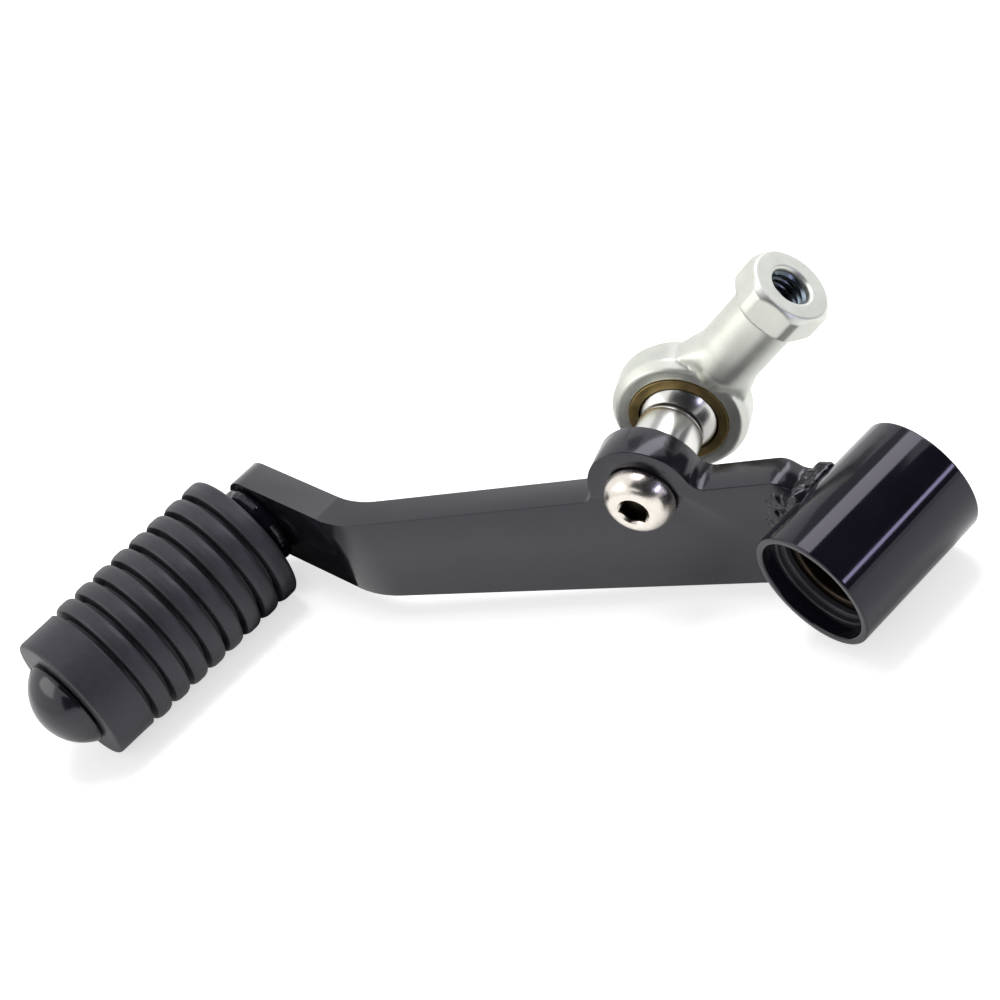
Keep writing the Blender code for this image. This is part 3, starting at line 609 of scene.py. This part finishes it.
chance = random.Random(7)
places = []
reach = math.asin((upper_edge(PLATE_START) - ROOT_DROP) / SLEEVE_RADIUS)
for across, leg, count in ((0, 2.3 * MM, 30), (1, 1.4 * MM, 26)):
    side = -BEHIND_ARM if across == 0 else BEHIND_ARM
    # one row along the seam, then as many drops at random, which reach out along the plate
    for index in range(count):
        climb = -reach + 2 * reach * index / (count - 1) + chance.uniform(-0.03, 0.03)
        slide = chance.uniform(-0.1, 0.4) * leg
        stand = side * chance.uniform(0.05, 0.25) * leg
        place = weld_point(climb, across) + ALONG_ARM * slide + stand
        places.append((place, chance.uniform(0.5, 0.75) * leg))
    for index in range(count):
        climb = reach * chance.uniform(-1, 1)
        size = chance.uniform(0.9, 1.4) * MM
        slide = ALONG_ARM * chance.uniform(0.4, 1.9) * leg
        places.append((weld_point(climb, across) + slide - side * 0.6 * size, size))
# round the lower and the upper end of the seam, at nine places across the plate
for climb in (-reach, reach):
    for index in range(24):
        place = weld_point(climb, index % 9 / 8) + ALONG_ARM * chance.uniform(0, 2.4) * MM
        places.append((place, chance.uniform(0.8, 1.2) * MM))
new_piece("sleeve_weld_bead", drops("weld", places), Matrix.Identity(4), "lever", enamel,
          "gloss_black_paint", "sleeve_weld", sharp=80)

# Toe peg
rubber_start, rubber_end, rubber_bore = 3.9 * MM, 42.3 * MM, 5.2 * MM
front_radius, rib_radius, rib_drop, floor_radius = 11.4 * MM, 11.75 * MM, 0.3 * MM, 9.5 * MM
grooves, first_groove, rib_pitch = 8, 7.55, 3.88        # the last two in millimetres
half_groove, half_crown = 0.5 * MM, 0.75 * MM
rim = [(rib_radius, rubber_start, 0.9 * MM), (rubber_bore, rubber_start, 0.3 * MM),
       (rubber_bore, rubber_end, 0.3 * MM), (front_radius, rubber_end, 0.7 * MM)]
for groove in range(grooves):
    middle = rubber_end - (first_groove + rib_pitch * groove) * MM
    high, low = middle + half_groove, middle - half_groove
    edge = rib_radius - rib_drop
    if groove == 0:
        rim.append((front_radius, high + 1.1 * MM, 0.5 * MM))
    rim += [(edge, high, 0.25 * MM), (floor_radius, high, 0.2 * MM), (floor_radius, low, 0.2 * MM),
            (edge, low, 0.25 * MM)]
    crown = middle - rib_pitch / 2 * MM
    rim.append((rib_radius, crown + half_crown, 0.35 * MM))
    if groove < grooves - 1:
        rim.append((rib_radius, crown - half_crown, 0.35 * MM))
new_piece("ribbed_rubber", turned_mesh("rubber", eased(rim, steps=5), sides=144), PEG_AXIS, "lever",
          rubber, "black_rubber", "peg_rubber", sharp=50)

head_start, head_height, head_rim, head_radius = 42.6 * MM, 5.3 * MM, 0.6 * MM, 7.65 * MM
pin_radius, tail_radius, tail_end = 5 * MM, 4 * MM, -5.1 * MM
cap = head_height - head_rim
cap_radius = (head_radius ** 2 + cap ** 2) / (2 * cap)
cap_centre = head_start + head_height - cap_radius
cap_edge = math.asin((head_start + head_rim - cap_centre) / cap_radius)
dome = arc((0, cap_centre), cap_radius, math.pi / 2, cap_edge, 24)
dome[0] = (0, head_start + head_height)
pin = eased([*dome[:-1], (*dome[-1], 0.25 * MM), (head_radius, head_start, 0.2 * MM),
             (pin_radius, head_start), (pin_radius, GAP), (tail_radius, GAP),
             (tail_radius, tail_end), (0, tail_end)], closed=False)
new_piece("domed_peg_pin", turned_mesh("pin", pin), PEG_AXIS, "lever", enamel, "gloss_black_paint",
          "peg_pin")

places = []
root_drops, tail_drops = 36, 19
for index in range(root_drops):
    angle = 2 * math.pi * index / root_drops
    spread = 5.5 * MM + chance.uniform(-0.15, 0.15) * MM
    places.append((Vector((spread * math.cos(angle), spread * math.sin(angle), 1.35 * MM)),
                   chance.uniform(1.35, 1.6) * MM))
new_piece("peg_root_weld", drops("root_weld", places, 0.1), PEG_AXIS, "lever", gloss,
          "gloss_black_paint", "peg_weld", sharp=80)
places = [(Vector((0, 0, -5.2 * MM)), 1.9 * MM)]
for index in range(tail_drops):
    angle = 2 * math.pi * index / tail_drops
    places.append((Vector((3.7 * MM * math.cos(angle), 3.7 * MM * math.sin(angle), -5.3 * MM)),
                   chance.uniform(1.3, 1.6) * MM))
places += [(Vector((2 * MM * math.cos(a), 2 * MM * math.sin(a), -5.2 * MM)), 1.75 * MM)
           for a in (0, 2.1, 4.2)]
new_piece("peg_tail_weld_bead", drops("tail_weld", places), PEG_AXIS, "lever", gloss,
          "gloss_black_paint", "peg_tail_weld", sharp=80)

# Link screw, spacer, ball and nut
top = -GAP - HEAD_HEIGHT
side = [(HEAD_CROWN_RADIUS + (HEAD_RADIUS - HEAD_CROWN_RADIUS) * x, -GAP - HEAD_HEIGHT * z)
        for x, z in arc((0, 0), 1, math.pi / 2, math.radians(8), 20)]
core_radius = 2.5 * MM
head = eased([(0, top), *side, (HEAD_RADIUS - 0.05 * MM, -GAP, 0.2 * MM), (SCREW_RADIUS, -GAP),
              (SCREW_RADIUS, 14 * MM), (core_radius, 14.5 * MM),
              (core_radius, SCREW_END - 0.3 * MM, 0.3 * MM), (0, SCREW_END - 0.1 * MM)],
             closed=False)
socket = prism_mesh("socket", 4.0 * MM, top - 1 * MM, top + 2.1 * MM, SOCKET_TURN)
mouth = turned_mesh("mouth", [(0, top - 0.5 * MM), (2.85 * MM, top - 0.5 * MM),
                              (1.95 * MM, top + 0.4 * MM), (0, top + 0.4 * MM)], closed=False,
                    sides=72)
screw_mesh = combined(turned_mesh("screw", head), [
    ("DIFFERENCE", socket, EAR_AXIS), ("DIFFERENCE", mouth, EAR_AXIS)], EAR_AXIS)
new_piece("button_head_screw", screw_mesh, EAR_AXIS, "lever", stainless, "stainless", "link_screw")
# Painted shade in the screw's socket: a dark liner over its walls and floor, where the recess lies
# in shade.
cup = prism_mesh("cup", 3.9 * MM, top + 0.4 * MM, top + 2.05 * MM, SOCKET_TURN)
cup_inside = prism_mesh("cup_inside", 3.7 * MM, top, top + 1.9 * MM, SOCKET_TURN)
cup = combined(cup, [("DIFFERENCE", cup_inside, Matrix.Identity(4))])
new_piece("socket_painted_shade_liner", cup, EAR_AXIS, "lever", oil_and_shade_dark, "stainless")
tail_thread = thread_mesh("thread", 2.48 * MM, 2.98 * MM, 15 * MM, SCREW_END - 0.2 * MM,
                          THREAD_PITCH)
new_piece("screw_thread", tail_thread, EAR_AXIS, "lever", stainless, "stainless", sharp=50)
spacer_end = SPACER_START + SPACER_LENGTH
spacer = eased([(SPACER_RADIUS, SPACER_START, 0.2 * MM), (SCREW_HOLE_RADIUS, SPACER_START),
                (SCREW_HOLE_RADIUS, spacer_end), (SPACER_END_RADIUS, spacer_end, 0.2 * MM),
                (SPACER_RADIUS, spacer_end - SPACER_CHAMFER, 0.4 * MM)])
new_piece("chromed_spacer", turned_mesh("spacer", spacer), EAR_AXIS, "lever", chrome, "chrome",
          "ball_spacer")
flat = math.asin(BALL_WIDTH / 2 / BALL_RADIUS)
ball = arc((0, 0), BALL_RADIUS, flat, -flat, 48) + [(SCREW_HOLE_RADIUS, -BALL_WIDTH / 2),
                                                    (SCREW_HOLE_RADIUS, BALL_WIDTH / 2)]
new_piece("chromed_ball", turned_mesh("ball", ball), BALL_AXIS, "lever", chrome, "chrome",
          "rod_end_ball", sharp=40)
nut_end = NUT_START + NUT_HEIGHT
nut = prism_mesh("nut", NUT_FLATS, NUT_START, nut_end)
chamfer, sink, sink_radius = 0.64 * MM, 0.4 * MM, 3.6 * MM
barrel = turned_mesh("barrel", [(0, nut_end), (NUT_FACE_RADIUS, nut_end),
                                (NUT_CORNER_RADIUS, nut_end - chamfer),
                                (NUT_CORNER_RADIUS, NUT_START + chamfer),
                                (NUT_FACE_RADIUS, NUT_START), (0, NUT_START)], closed=False,
                     sides=96)
bore = turned_mesh("bore", [(0, NUT_START - 1 * MM), (sink_radius, NUT_START - sink),
                            (NUT_BORE_RADIUS, NUT_START + sink), (NUT_BORE_RADIUS, nut_end - sink),
                            (sink_radius, nut_end + sink), (0, nut_end + 1 * MM)], closed=False,
                   sides=96)
nut_cuts = [("INTERSECT", barrel, EAR_AXIS), ("DIFFERENCE", bore, EAR_AXIS)]
nut_mesh = combined(nut, nut_cuts, EAR_AXIS, extra=[
    ("BEVEL", {"width": 0.12 * MM, "segments": 2, "limit_method": "ANGLE",
               "angle_limit": math.radians(25)})])
new_piece("hexagon_nut", nut_mesh, EAR_AXIS, "lever", zinc, "zinc_plate", "link_nut")

# Rod end: eye, shank and hexagon forged in one, softened as plated forgings are
half_eye, half_land = EYE_WIDTH / 2, EYE_LAND / 2
eye = turned_mesh("eye", [(0, half_eye), (EYE_FACE_RADIUS, half_eye), (EYE_RADIUS, half_land),
                          (EYE_RADIUS, -half_land), (EYE_FACE_RADIUS, -half_eye), (0, -half_eye)],
                  closed=False, sides=128)
hex_start = ROD_END_LENGTH - HEX_LENGTH
shank_end = hex_start + 2 * MM
shank = turned_mesh("shank", [(0, shank_end), (SHANK_RADIUS, shank_end), (SHANK_RADIUS, 10.7 * MM),
                              (2.8 * MM, 6.5 * MM), (0, 6.5 * MM)], closed=False, sides=96)
# The neck flares from the shank to the eye: a skin stretched from points on the eye's rim, over 36
# degrees each way, and on its faces nearer the middle, to a ring round the shank.
work = bmesh.new()
for turn in range(-36, 37, 12):
    a = math.radians(turn)
    rings = [(EYE_RADIUS, half_land)]
    if abs(turn) < 20:
        rings.append((EYE_FACE_RADIUS, half_eye - 0.1 * MM))
    for radius, height in rings:
        for z in (-height, height):
            work.verts.new((radius * math.cos(a), radius * math.sin(a), z))
ring_points = 48
for index in range(ring_points):
    a = 2 * math.pi * index / ring_points
    work.verts.new((NECK_END, SHANK_RADIUS * math.cos(a), SHANK_RADIUS * math.sin(a)))
bmesh.ops.convex_hull(work, input=work.verts)
neck = bpy.data.meshes.new("neck")
work.to_mesh(neck)
work.free()
hex_end = prism_mesh("hex_end", HEX_FLATS, hex_start, ROD_END_LENGTH, math.radians(18))
hex_barrel = turned_mesh("hex_barrel", [
    (0, ROD_END_LENGTH), (HEX_FLATS / 2 - 0.2 * MM, ROD_END_LENGTH),
    (HEX_CORNER_RADIUS, ROD_END_LENGTH - 0.8 * MM), (HEX_CORNER_RADIUS, hex_start + 0.4 * MM),
    (HEX_FLATS / 2, hex_start), (0, hex_start)], closed=False, sides=128)
hex_end = combined(hex_end, [("INTERSECT", hex_barrel, Matrix.Identity(4))])
race_bore = turned_mesh("race_bore", [(0, -9 * MM), (RACE_RADIUS, -9 * MM), (RACE_RADIUS, 9 * MM),
                                      (0, 9 * MM)], closed=False, sides=128)
socket = turned_mesh("socket", [
    (0, ROD_END_LENGTH + 1 * MM), (4.3 * MM, ROD_END_LENGTH + 1 * MM),
    (SOCKET_RADIUS, ROD_END_LENGTH - 0.3 * MM), (SOCKET_RADIUS, ROD_END_LENGTH - 14 * MM),
    (0, ROD_END_LENGTH - 16 * MM)], closed=False, sides=96)
housing = combined(eye, [
    ("UNION", shank, SHANK_AXIS), ("UNION", neck, EYE_AXIS), ("UNION", hex_end, SHANK_AXIS),
    ("DIFFERENCE", race_bore, EYE_AXIS), ("DIFFERENCE", socket, SHANK_AXIS)], EYE_AXIS, extra=[
    ("REMESH", {"mode": "VOXEL", "voxel_size": 0.2 * MM}),
    ("SMOOTH", {"factor": 0.5, "iterations": 5})])
neck_middle, neck_reach = Vector((11.5 * MM, 0, 0)), 5.5 * MM
housing = melted(housing, neck_middle, neck_reach, EYE_FACE_RADIUS - 0.6 * MM, 30)
new_piece("forged_rod_end", housing, EYE_AXIS, "rod_end", zinc, "zinc_plate", "rod_end_housing",
          sharp=70)
# The socket's thread, in the dark steel that paints the hole's shade
inner_thread = thread_mesh("socket_thread", 3.08 * MM, 2.55 * MM, ROD_END_LENGTH - 13.5 * MM,
                           ROD_END_LENGTH - 0.3 * MM, THREAD_PITCH)
new_piece("socket_thread", inner_thread, SHANK_AXIS, "rod_end", thread_shade_steel, "zinc_plate", sharp=50)
half_race, seat_radius, outer_radius = 3.4 * MM, 6.7 * MM, 7.15 * MM
seat_angle = math.asin(half_race / seat_radius)
race = eased([(outer_radius, half_race, 0.15 * MM), (outer_radius, -half_race, 0.15 * MM)]
             + arc((0, 0), seat_radius, -seat_angle, seat_angle, 32))
new_piece("race_ring", turned_mesh("race", race), EYE_AXIS, "rod_end", bronze, "bronze",
          "rod_end_race", sharp=40)


# Studio: pale floor, soft lamps, white surroundings. Floor and surroundings glow more where they
# are looked at or mirrored than where they light the lever.

# The same black also paints the shadow on the floor beside the peg.
DARK_CLOTH_AND_SHADOW = "060608"                   # black velvet
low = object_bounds()[0]
floor_mesh = bpy.data.meshes.new("floor")
work = bmesh.new()
bmesh.ops.create_circle(work, cap_ends=True, segments=96, radius=2.5)
work.to_mesh(floor_mesh)
work.free()
floor = bpy.data.objects.new("floor", floor_mesh)
bpy.context.scene.collection.objects.link(floor)
floor.location = (0, 0, low.z - 0.1 * MM)
floor_paint, tree, shader, _ = begin("pale_floor")
shader.inputs["Base Color"].default_value = paint_chip("dcdcdc")
shader.inputs["Roughness"].default_value = 0.9
path = add(tree, "ShaderNodeLightPath", {})
seen = add(tree, "ShaderNodeMath", {0: path.outputs["Is Camera Ray"],
                                    1: path.outputs["Is Glossy Ray"]}, operation="MAXIMUM")
seen = add(tree, "ShaderNodeMath", {0: seen.outputs[0], 1: path.outputs["Is Transmission Ray"]},
           operation="MAXIMUM")
lift = add(tree, "ShaderNodeMapRange", {"Value": path.outputs["Is Camera Ray"], "To Min": 0.2,
                                        "To Max": 0.6})
lift = add(tree, "ShaderNodeMath", {0: seen.outputs[0], 1: lift.outputs["Result"]},
           operation="MULTIPLY")
glow = add(tree, "ShaderNodeEmission", {"Color": (1, 1, 1, 1), "Strength": lift.outputs[0]})
both = add(tree, "ShaderNodeAddShader", {0: shader.outputs[0], 1: glow.outputs[0]})
tree.links.new(both.outputs[0], tree.nodes["Material Output"].inputs["Surface"])
floor_mesh.materials.append(floor_paint)

world = bpy.data.worlds.new("white_surroundings")
bpy.context.scene.world = world
world.use_nodes = True
tree = world.node_tree
path = add(tree, "ShaderNodeLightPath", {})
seen = add(tree, "ShaderNodeMath", {0: path.outputs["Is Camera Ray"],
                                    1: path.outputs["Is Glossy Ray"]}, operation="MAXIMUM")
seen = add(tree, "ShaderNodeMath", {0: seen.outputs[0], 1: path.outputs["Is Transmission Ray"]},
           operation="MAXIMUM")
level = add(tree, "ShaderNodeMapRange", {"Value": seen.outputs[0], "To Min": 0.45, "To Max": 1.0})
tree.links.new(level.outputs["Result"], tree.nodes["Background"].inputs["Strength"])
tree.nodes["Background"].inputs["Color"].default_value = (1, 1, 1, 1)


def lamp(name, place, aim, size, watts):
    """A soft lamp aimed at a place. Shiny faces mirror the cards below instead of it."""
    data = bpy.data.lights.new(name, "AREA")
    data.shape = "RECTANGLE"
    data.size, data.size_y = size
    data.energy = watts
    made = bpy.data.objects.new(name, data)
    bpy.context.scene.collection.objects.link(made)
    made.visible_glossy = False
    made.location = place
    made.rotation_euler = (Vector(aim) - Vector(place)).to_track_quat("-Z", "Y").to_euler()


centre = (-0.045, -0.02, 0.005)
lamp("overhead_softbox", (-0.12, 0.18, 0.62), centre, (0.32, 0.5), 4.4)
lamp("side_softbox", (0.45, -0.45, 0.3), centre, (0.4, 0.4), 1.3)


def card(name, corners, faces, shade, glow=0.0):
    """A card that only shiny surfaces show: dark cloth round the table, a painted shadow, or a lit
    bank.
    """
    mesh = bpy.data.meshes.new(name)
    mesh.from_pydata(corners, [], faces)
    made = bpy.data.objects.new(name, mesh)
    bpy.context.scene.collection.objects.link(made)
    cloth, _, shader, _ = begin(name)
    shader.inputs["Base Color"].default_value = paint_chip("000000" if glow else shade)
    shader.inputs["Roughness"].default_value = 1.0
    shader.inputs["Emission Color"].default_value = paint_chip(shade)
    shader.inputs["Emission Strength"].default_value = glow
    mesh.materials.append(cloth)
    made.visible_camera = made.visible_diffuse = False
    made.visible_shadow = made.visible_transmission = False


def flat_card(name, corners, shade, glow=0.0):
    card(name, corners, [tuple(range(len(corners)))], shade, glow)


def curved_card(name, turns, rises, distance, shade, glow=0.0):
    """A card curved round the lever, between two turns from +X and two rises, in degrees."""
    steps = 8
    corners = []
    for i in range(steps + 1):
        for j in range(steps + 1):
            turn = math.radians(turns[0] + (turns[1] - turns[0]) * i / steps)
            rise = math.radians(rises[0] + (rises[1] - rises[0]) * j / steps)
            corners.append((distance * math.cos(rise) * math.cos(turn),
                            distance * math.cos(rise) * math.sin(turn), distance * math.sin(rise)))
    faces = [(a, a + 1, a + steps + 2, a + steps + 1) for i in range(steps)
             for a in range(i * (steps + 1), i * (steps + 1) + steps)]
    card(name, corners, faces, shade, glow)


# Dark cloth beside and above the sleeve's end of the lever keeps its paint black.
curved_card("dark_room", (-78, 74), (3, 30), 1.1, DARK_CLOTH_AND_SHADOW)
curved_card("dark_room_top", (-48, 62), (30, 67), 1.1, DARK_CLOTH_AND_SHADOW)
flat_card("dark_ceiling", [(0.9, -0.5, 0.55), (0.9, 0.34, 0.55), (0.03, 0.34, 0.55),
                           (0.03, -0.5, 0.55)], DARK_CLOTH_AND_SHADOW)
# A bar just above the lever and a bluish strip beyond the sleeve give the tube its two streaks.
flat_card("light_bar", [(0.012, 0.0, 0.16), (0.022, 0.34, 0.16), (-0.07, 0.34, 0.16),
                        (-0.056, 0.0, 0.16)], "fbf9ff", 3.8)
# A greyer patch behind the arm, a softbox before its left end and a dark stand behind the sleeve
curved_card("grey_side", (124, 152), (41, 64), 0.9, "ffffff", 0.4)
curved_card("left_softbox", (-140, -100), (22, 50), 0.8, "fffdf6", 2.8)
flat_card("dark_stand", [(0.02, 0.14, -0.013), (0.14, 0.14, -0.013), (0.14, 0.14, 0.12),
                         (0.02, 0.14, 0.12)], DARK_CLOTH_AND_SHADOW)
# A painted shadow on the floor beside the peg, mirrored in the lower side of the rubber and the
# bend
shade_height = low.z - 0.05 * MM
flat_card("peg_shade", [(-0.2, -0.02, shade_height), (-0.2, -0.09, shade_height),
                        (-0.105, -0.06, shade_height), (-0.094, -0.045, shade_height),
                        (-0.082, -0.02, shade_height)], DARK_CLOTH_AND_SHADOW)
flat_card("light_strip", [(0.61, 0.12, 0.157), (0.61, 0.9, 0.157), (0.61, 0.9, 0.22),
                          (0.61, 0.12, 0.22)], "dcd9ff", 8.0)

# Camera at the photograph's viewing angle
scene = bpy.context.scene
camera = bpy.data.objects.new("camera", bpy.data.cameras.new("camera"))
scene.collection.objects.link(camera)
right, upward, back = ((0.596093, 0.678985, -0.428546), (-0.239368, 0.659747, 0.712346),
                       (0.766405, -0.322044, 0.555798))
camera.matrix_world = (Matrix.Translation((0.230626, -0.139895, 0.213257))
                       @ Matrix((right, upward, back)).transposed().to_4x4())
camera.data.lens = 91.967
camera.data.sensor_width = 36
camera.data.clip_start, camera.data.clip_end = 0.01, 20
scene.camera = camera
scene.view_settings.view_transform = "Standard"
